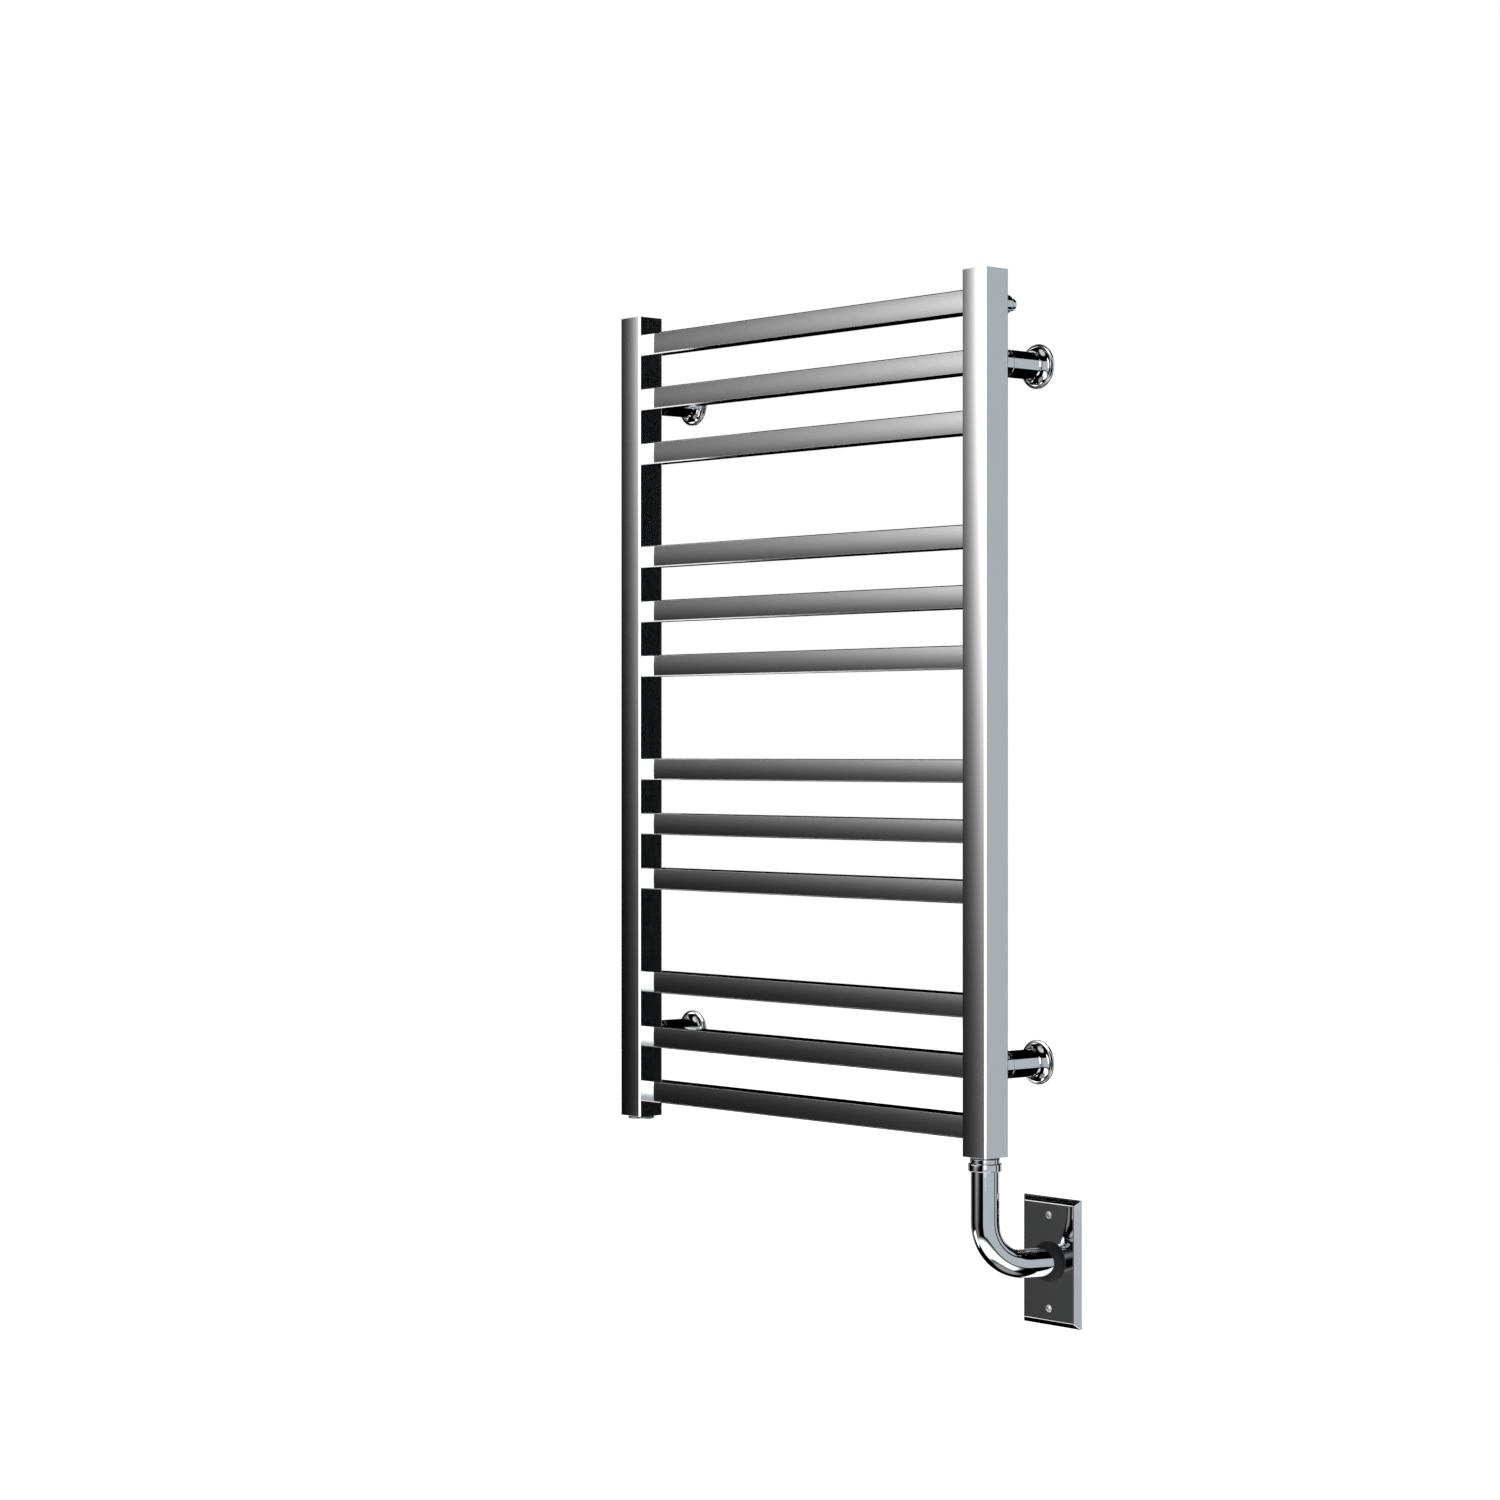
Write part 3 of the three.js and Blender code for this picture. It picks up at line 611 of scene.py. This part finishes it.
def make_vent():
    """The valve's heights run from the upright's back towards the wall."""
    place = Vector((CONDUIT_X, UPRIGHT_BACK, middle("vent_body").z))
    radius = size("vent_body").x / 2
    reach = high("vent_screw").y - UPRIGHT_BACK
    body = turned("vent_valve", rounded([
        (0, VENT_WASHER, 0), (radius, VENT_WASHER, 0.5 * MM), (radius, VENT_SHOULDER, 1.2 * MM),
        (VENT_NOSE, VENT_NOSE_START, 0.5 * MM), (VENT_NOSE, reach - MM, 0.6 * MM),
        (VENT_BORE, reach - MM, 0.2 * MM), (VENT_BORE, VENT_SEAT, 0), (0, VENT_SEAT, 0)],
        closed=False), place, TOWARDS_WALL)
    dress(body, chrome, "rack", "chrome_fittings", "vent_body")

    seal = radius - SEAL_INSET
    seal_top = VENT_WASHER - 0.05 * MM
    washer = turned("vent_seal", rounded([
        (VENT_WASHER_BORE, 0, 0), (seal, 0, 0.5 * MM), (seal, seal_top, 0.5 * MM),
        (VENT_WASHER_BORE, seal_top, 0)]), place, TOWARDS_WALL, closed=True)
    dress(washer, rubber, "rack", "rubber", "vent_washer")

    screw = turned("vent_bleed_screw", rounded([
        (0, VENT_SCREW_START, 0), (VENT_SCREW, VENT_SCREW_START, 0), (VENT_SCREW, reach, 0.5 * MM),
        (0, reach, 0)], closed=False), place, TOWARDS_WALL, SCREW_STEPS)
    carve(screw, [slot_cutter(place + Vector((0, reach, 0)), Vector((1, 0, 0)), TOWARDS_WALL, SLOT_WIDTH,
                              SLOT_DEPTH, SLOT_LENGTH)])
    dress(screw, brass, "vent_screw", "brass", "vent_screw")


def slot_cutter(centre, along, axis, width, depth, length):
    """A box that cuts a straight slot into a face at centre whose normal is axis."""
    cutter = bpy.data.meshes.new("slot_cutter")
    built = bmesh.new()
    bmesh.ops.create_cube(built, size=1)
    along = along.normalized()
    axis = Vector(axis).normalized()
    across = axis.cross(along)
    for vertex in built.verts:
        x, y, z = vertex.co
        vertex.co = centre + along * (x * length) + across * (y * width) + axis * (z * 2 * depth)
    bmesh.ops.recalc_face_normals(built, faces=built.faces)
    built.to_mesh(cutter)
    built.free()
    piece = bpy.data.objects.new("slot_cutter", cutter)
    bpy.context.scene.collection.objects.link(piece)
    return piece


make_vent()


# ---- Blanking plug, element head and their washers ----

WASHER_THICKNESS = 1.55 * MM
WASHER_INSET = 0.6 * MM
HEAD_GAP = 1.6 * MM
PLUG_SHANK = 9.5 * MM
PLUG_SHANK_LENGTH = 9 * MM
PLUG_WASHER_BORE = 9.8 * MM
PLUG_SOCKET = 5 * MM
PLUG_SOCKET_DEPTH = 6 * MM
HEAD_SHANK = 10.2 * MM
HEAD_WASHER_BORE = 10.5 * MM
HEAD_BORE = 6.5 * MM
HEAD_FLOOR = 11 * MM
HEAD_TOP = 14 * MM


def make_plug():
    place = Vector((middle("left_upright").x, CONDUIT_Y, FOOT))
    radius = size("blanking_plug").x / 2
    bottom = low("blanking_plug").z - FOOT
    plug = turned("blanking_plug_head", rounded([
        (0, bottom, 0), (radius, bottom, 0.9 * MM), (radius, -HEAD_GAP, 0.25 * MM),
        (PLUG_SHANK, -HEAD_GAP, 0), (PLUG_SHANK, PLUG_SHANK_LENGTH, 0.5 * MM),
        (0, PLUG_SHANK_LENGTH, 0)], closed=False), place, UP)
    carve(plug, [rod("socket", PLUG_SOCKET, bottom - MM, bottom + PLUG_SOCKET_DEPTH, place, UP,
                     HEXAGON)])
    dress(plug, chrome, "rack", "chrome_fittings", "blanking_plug")
    make_washer("blanking_plug_washer", place, PLUG_WASHER_BORE, radius - WASHER_INSET)


def make_washer(node, place, bore, radius):
    piece = turned(f"{node}_ring", rounded([
        (bore, -WASHER_THICKNESS, 0), (radius, -WASHER_THICKNESS, 0.2 * MM), (radius, 0, 0.2 * MM),
        (bore, 0, 0)]), place, UP, closed=True)
    dress(piece, fibre, "rack", "fibre", node)


def make_element_head():
    """The head screws into the upright's foot, and its spigot holds the conduit's top."""
    place = Vector((CONDUIT_X, CONDUIT_Y, FOOT))
    neck = size("element_head").x / 2
    neck_end = high("coupling_nut").z + SEAM_GAP - FOOT
    spigot = CONDUIT_RADIUS - CONDUIT_WALL - SEAM_GAP
    end = low("element_head").z - FOOT
    head = turned("element_head_body", rounded([
        (0, HEAD_FLOOR, 0), (HEAD_BORE, HEAD_FLOOR, 0), (HEAD_BORE, end, 0.3 * MM),
        (spigot, end, 0.3 * MM), (spigot, neck_end, 0), (neck, neck_end, 0.3 * MM),
        (neck, -HEAD_GAP, 0.3 * MM), (HEAD_SHANK, -HEAD_GAP, 0), (HEAD_SHANK, HEAD_TOP, 0.5 * MM),
        (0, HEAD_TOP, 0)], closed=False), place, UP)
    dress(head, chrome, "rack", "chrome_fittings", "element_head")
    make_washer("element_washer", place, HEAD_WASHER_BORE, neck - WASHER_INSET)


make_plug()
make_element_head()


# ---- Conduit, coupling nut and leads ----

RUN = Vector((sin(SWIVEL), cos(SWIVEL), 0))
RUN_LENGTH = -CONDUIT_Y / cos(SWIVEL) - CONDUIT_RADIUS * tan(SWIVEL) - MM
CONDUIT_SIDES = 96
LEAD_RADIUS = 1.4 * MM
LEAD_SPREAD = 3 * MM
LEAD_STEPS = 24
NUT_PLAY = 0.15 * MM
NUT_EDGE = 0.9 * MM


def conduit_path(top, end, across=0.0, side=0.0, bend_steps=32):
    """Stations of (place, tangent) down from top, round the bend and out along the run."""
    aside = DOWN.cross(RUN).normalized() * side
    corner = Vector((CONDUIT_X, CONDUIT_Y, PLATE_Z)) + aside
    radius = CONDUIT_BEND + across
    centre = corner + RUN * CONDUIT_BEND + Vector((0, 0, CONDUIT_BEND))
    stations = [(centre - RUN * radius + Vector((0, 0, top - centre.z)), DOWN)]
    for i in range(bend_steps + 1):
        turn = i / bend_steps * pi / 2
        place = centre - RUN * radius * cos(turn) + DOWN * radius * sin(turn)
        stations.append((place, DOWN * cos(turn) + RUN * sin(turn)))
    stations.append((corner + RUN * end + DOWN * across, RUN))
    return stations


def make_conduit():
    tube = swept("conduit_tube", conduit_path(high("conduit").z, RUN_LENGTH), CONDUIT_RADIUS,
                 CONDUIT_SIDES, CONDUIT_RADIUS - CONDUIT_WALL)
    dress(tube, chrome, "conduit", "chrome_fittings", "conduit")


def make_leads():
    """Three insulated wires inside the conduit, spread round its centre line."""
    half = LEAD_SPREAD / 2
    for colour, across, side in (("live", LEAD_SPREAD, 0), ("neutral", -half, LEAD_SPREAD),
                                 ("earth", -half, -LEAD_SPREAD)):
        node = f"{colour}_lead"
        path = conduit_path(high(node).z, RUN_LENGTH - MM, across, side, LEAD_STEPS)
        lead = swept(f"{node}_wire", path, LEAD_RADIUS, LEAD_STEPS)
        dress(lead, LEAD_MATERIALS[node], "conduit", f"lead_{colour}", node)


def make_coupling_nut():
    """A ring round the conduit with rounded edges."""
    bottom = low("coupling_nut").z
    top = high("coupling_nut").z
    radius = size("coupling_nut").x / 2
    bore = CONDUIT_RADIUS + NUT_PLAY
    nut = turned("coupling_nut_ring", rounded([
        (bore, bottom, 0), (radius, bottom, NUT_EDGE), (radius, top, NUT_EDGE), (bore, top, 0)]),
        Vector((CONDUIT_X, CONDUIT_Y, 0)), UP, closed=True)
    dress(nut, chrome, "coupling_nut", "chrome_fittings", "coupling_nut")


make_conduit()
make_leads()
make_coupling_nut()


# ---- Wall plate, screws and grommet ----

PLATE_EDGE = 1.0 * MM
PLATE_BEVEL = 4.9 * MM
PLATE_SOFTNESS = 0.55 * MM
PLATE_SCREWS = ("upper_plate_screw", "lower_plate_screw")
PLATE_BORE = CONDUIT_RADIUS + 2.2 * MM
PLATE_SHARP = 20
RUN_BORE_START = CONDUIT_BEND - 10 * MM
RUN_BORE_LENGTH = 80 * MM
SCREW_HOLE = 2.2 * MM
SCREW_SHANK = 1.9 * MM
SCREW_HEAD = 3.4 * MM
SCREW_HEAD_HOLE = 3.55 * MM
SINK_START = 3.6 * MM
SINK_END = 5.2 * MM
SINK_TOP = 7 * MM
SCREW_CONE = 3.7 * MM
SCREW_DOME = 0.45 * MM
SCREW_SLOT_WIDTH = 0.9 * MM
SCREW_SLOT_DEPTH = 1.2 * MM
SCREW_SLOT_LENGTH = 10 * MM
GROMMET_LIP = 14.8 * MM
GROMMET_SHOULDER = 1.4 * MM
GROMMET_BORE = CONDUIT_RADIUS + 0.12 * MM
GROMMET_STEPS = 16
GROMMET_SHARP = 40


def run_bore(radius):
    """A closed rod along the conduit's run, through the plate."""
    start = Vector((CONDUIT_X, CONDUIT_Y, PLATE_Z)) + RUN * RUN_BORE_START
    return rod("run_bore", radius, 0, RUN_BORE_LENGTH, start, RUN, ROUND_STEPS)


def make_plate():
    half = size("wall_plate") / 2
    built = bmesh.new()
    loops = []
    for depth, inset in ((0, 0), (PLATE_EDGE, 0), (-PLATE_FRONT, PLATE_BEVEL)):
        loops.append([built.verts.new((PLATE_X + a * (half.x - inset), -depth,
                                       PLATE_Z + b * (half.z - inset)))
                      for a, b in ((-1, -1), (1, -1), (1, 1), (-1, 1))])
    for first, second in zip(loops, loops[1:]):
        bridge(built, first, second)
    built.faces.new(loops[0])
    built.faces.new(loops[-1])
    front_edges = [edge for edge in built.edges if min(v.co.y for v in edge.verts) < -PLATE_EDGE / 2]
    bmesh.ops.bevel(built, geom=front_edges, offset=PLATE_SOFTNESS, segments=4, profile=0.5,
                    affect="EDGES")
    plate = finish_mesh("wall_plate_cover", built, sharp=FLAT_SIDED_SHARP)
    tools = [run_bore(PLATE_BORE)]
    for node in PLATE_SCREWS:
        tools.append(turned("screw_hole", [
            (0, -MM), (SCREW_HOLE, -MM), (SCREW_HOLE, SINK_START), (SCREW_HEAD_HOLE, SINK_END),
            (SCREW_HEAD_HOLE, SINK_TOP), (0, SINK_TOP)], screw_place(node), TOWARDS_ROOM, SCREW_STEPS))
    carve(plate, tools, sharp=PLATE_SHARP)
    dress(plate, plate_chrome, "wall_plate", "plate_chrome", "wall_plate")


def screw_place(node):
    return Vector((PLATE_X, 0, middle(node).z))


def make_plate_screw(node, slot_angle):
    """An oval-headed screw with a slot, its head sunk in the plate."""
    face = -PLATE_FRONT
    screw = turned(f"{node}_head", rounded([
        (0, 0.2 * MM, 0), (SCREW_SHANK, 0.2 * MM, 0.3 * MM), (SCREW_SHANK, SCREW_CONE, 0),
        (SCREW_HEAD, face - 0.6 * MM, 0.15 * MM), (SCREW_HEAD - 0.2 * MM, face + 0.05 * MM, 0.4 * MM),
        (0, face + SCREW_DOME, 0)], closed=False), screw_place(node), TOWARDS_ROOM, SCREW_STEPS)
    slot_centre = screw_place(node) + Vector((0, -face - 0.3 * MM, 0))
    along = Vector((cos(slot_angle), 0, sin(slot_angle)))
    carve(screw, [slot_cutter(slot_centre, along, TOWARDS_ROOM, SCREW_SLOT_WIDTH, SCREW_SLOT_DEPTH,
                              SCREW_SLOT_LENGTH)])
    dress(screw, screw_steel, node, "screw_steel", node)


def make_grommet():
    """A rubber collar with a rounded shoulder, bored for the conduit's run."""
    base = -PLATE_FRONT
    height = -low("grommet").y
    radius = size("grommet").x / 2
    shoulder = base + GROMMET_SHOULDER
    profile = rounded([(0, base, 0), (radius, base, 0.3 * MM), (radius, shoulder, 0)], closed=False)
    for i in range(1, GROMMET_STEPS + 1):
        turn = i / GROMMET_STEPS * pi / 2
        profile.append(Vector((GROMMET_LIP + (radius - GROMMET_LIP) * cos(turn),
                               shoulder + (height - shoulder) * sin(turn))))
    profile.append(Vector((0, height)))
    collar = turned("grommet_collar", profile, Vector((PLATE_X, 0, PLATE_Z)), TOWARDS_ROOM)
    carve(collar, [run_bore(GROMMET_BORE)], sharp=GROMMET_SHARP)
    dress(collar, rubber, "wall_plate", "rubber", "grommet")


make_plate()
make_plate_screw("upper_plate_screw", radians(78))
make_plate_screw("lower_plate_screw", radians(84))
make_grommet()


# ---- The heating element, which stays as the CAD has it ----

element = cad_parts["heating_element"]
element.data.materials.clear()
element.data.materials.append(sheath)


# ---- Floor and world ----

FLOOR_HALF_SIZE = 9
FLOOR_LEVEL = -1.3


def make_floor():
    """A plain white floor that doesn't show in the metal."""
    built = bmesh.new()
    bmesh.ops.create_grid(built, x_segments=1, y_segments=1, size=FLOOR_HALF_SIZE)
    mesh = bpy.data.meshes.new("floor")
    built.to_mesh(mesh)
    built.free()
    floor = bpy.data.objects.new("floor", mesh)
    floor.location = (0, 0, FLOOR_LEVEL)
    bpy.context.scene.collection.objects.link(floor)
    material, _, _, shader = new_material("floor_white")
    shader.inputs["Base Color"].default_value = (0.9, 0.9, 0.9, 1)
    shader.inputs["Roughness"].default_value = 0.9
    shader.inputs["Emission Color"].default_value = (1, 1, 1, 1)
    shader.inputs["Emission Strength"].default_value = 1.0
    mesh.materials.append(material)
    floor.visible_glossy = False


# Soft cards around the studio: azimuth and elevation of the centre, half width and half height in
# degrees, softness of the edge, and colour. Azimuth 0 is towards the room, 90 towards +X. The dark
# slot between the two side walls is what the left upright's inner side shows.
STUDIO_CARDS = [
    ("side_wall", 76.5, 2, 47.5, 27, 1.3, (0.49, 0.54, 0.575)),
    ("far_side_wall", 141.2, 2, 7.9, 27, 0.9, (0.50, 0.55, 0.585)),
    ("camera_side_box", 45, 16.2, 8, 23, 0.3, (1.7, 1.7, 1.7)),
    ("low_table", 30, -49, 70, 16, 5, (1.5, 1.5, 1.5)),
    ("back_wall", 192, 0, 20, 20, 4, (0.75, 0.75, 0.76)),
    ("left_wall", -103, 2, 16, 22, 4, (0.30, 0.30, 0.31)),
    ("high_card", -58, 23, 12, 9, 2, (2.0, 2.0, 2.0)),
    ("low_card", -58, -28, 12, 9, 2, (2.0, 2.0, 2.0)),
    ("overhead", 0, 90, 180, 24, 6, (0.7, 0.7, 0.71)),
    ("underneath", 0, -90, 180, 18, 6, (0.35, 0.35, 0.35)),
]

# Soft boxes that fade out all round: azimuth, elevation, spread across and up in degrees, strength.
STUDIO_GLOWS = [
    ("key_box", -19.8, 8.3, 10.0, 5.0, 19.0),
    ("tall_strip", -29, -20, 9.0, 45.0, 0.22),
]
BRIGHTEST = 2.5  # where a soft box is cut off


def value_of(nodes, links, operation, *inputs):
    """A math node fed by sockets or plain numbers."""
    node = nodes.new("ShaderNodeMath")
    node.operation = operation
    for socket, given in zip(node.inputs, inputs):
        if isinstance(given, (int, float)):
            socket.default_value = given
        else:
            links.new(given, socket)
    return node.outputs["Value"]


def dot_with(nodes, links, direction, vector):
    node = nodes.new("ShaderNodeVectorMath")
    node.operation = "DOT_PRODUCT"
    links.new(direction, node.inputs[0])
    node.inputs[1].default_value = vector
    return node.outputs["Value"]


def within(nodes, links, angle, half, soft):
    """One inside the half angle either way, fading to zero over the soft edge."""
    distance = value_of(nodes, links, "ABSOLUTE", angle)
    fade = nodes.new("ShaderNodeMapRange")
    fade.interpolation_type = "SMOOTHSTEP"
    fade.inputs["From Min"].default_value = radians(half - soft)
    fade.inputs["From Max"].default_value = radians(half + soft)
    fade.inputs["To Min"].default_value = 1
    fade.inputs["To Max"].default_value = 0
    links.new(distance, fade.inputs["Value"])
    return fade.outputs["Result"]


def falloff(nodes, links, angle, spread):
    """Minus half the square of an angle over its spread: the power of a bell curve."""
    share = value_of(nodes, links, "DIVIDE", angle, radians(spread))
    return value_of(nodes, links, "MULTIPLY", value_of(nodes, links, "MULTIPLY", share, share), -0.5)


def add_background(nodes, links, name, colour, strength, total):
    """A light of its own, added to the ones before it."""
    card = nodes.new("ShaderNodeBackground")
    card.name = name
    card.inputs["Color"].default_value = (*colour, 1)
    links.new(strength, card.inputs["Strength"])
    if total is None:
        return card.outputs["Background"]
    both = nodes.new("ShaderNodeAddShader")
    links.new(total, both.inputs[0])
    links.new(card.outputs["Background"], both.inputs[1])
    return both.outputs["Shader"]


def make_world():
    """White behind the object, and a dark studio with soft cards and soft boxes for the light."""
    world = bpy.data.worlds.new("studio")
    bpy.context.scene.world = world
    world.use_nodes = True
    nodes = world.node_tree.nodes
    links = world.node_tree.links
    nodes.clear()
    direction = nodes.new("ShaderNodeTexCoord").outputs["Generated"]
    elevation = value_of(nodes, links, "ARCSINE", dot_with(nodes, links, direction, (0, 0, 1)))

    def angles_from(azimuth, height):
        turn = radians(azimuth)
        aside = dot_with(nodes, links, direction, (cos(turn), sin(turn), 0))
        ahead = dot_with(nodes, links, direction, (sin(turn), -cos(turn), 0))
        across = value_of(nodes, links, "ARCTAN2", aside, ahead)
        return across, value_of(nodes, links, "SUBTRACT", elevation, radians(height))

    total = None
    for name, azimuth, height, half_width, half_height, soft, colour in STUDIO_CARDS:
        across, raised = angles_from(azimuth, height)
        shape = value_of(nodes, links, "MULTIPLY", within(nodes, links, across, half_width, soft),
                         within(nodes, links, raised, half_height, soft))
        total = add_background(nodes, links, name, colour, shape, total)
    for name, azimuth, height, spread_across, spread_up, power in STUDIO_GLOWS:
        across, raised = angles_from(azimuth, height)
        fade = value_of(nodes, links, "ADD", falloff(nodes, links, across, spread_across),
                        falloff(nodes, links, raised, spread_up))
        bell = value_of(nodes, links, "MULTIPLY", value_of(nodes, links, "EXPONENT", fade), power)
        shape = value_of(nodes, links, "MINIMUM", bell, BRIGHTEST)
        total = add_background(nodes, links, name, (1, 1, 1), shape, total)
    backdrop = nodes.new("ShaderNodeBackground")
    backdrop.inputs["Color"].default_value = (1, 1, 1, 1)
    mix = nodes.new("ShaderNodeMixShader")
    links.new(nodes.new("ShaderNodeLightPath").outputs["Is Camera Ray"], mix.inputs["Fac"])
    links.new(total, mix.inputs[1])
    links.new(backdrop.outputs["Background"], mix.inputs[2])
    output = nodes.new("ShaderNodeOutputWorld")
    links.new(mix.outputs["Shader"], output.inputs["Surface"])


make_floor()
make_world()
bpy.context.scene.view_settings.view_transform = "Standard"
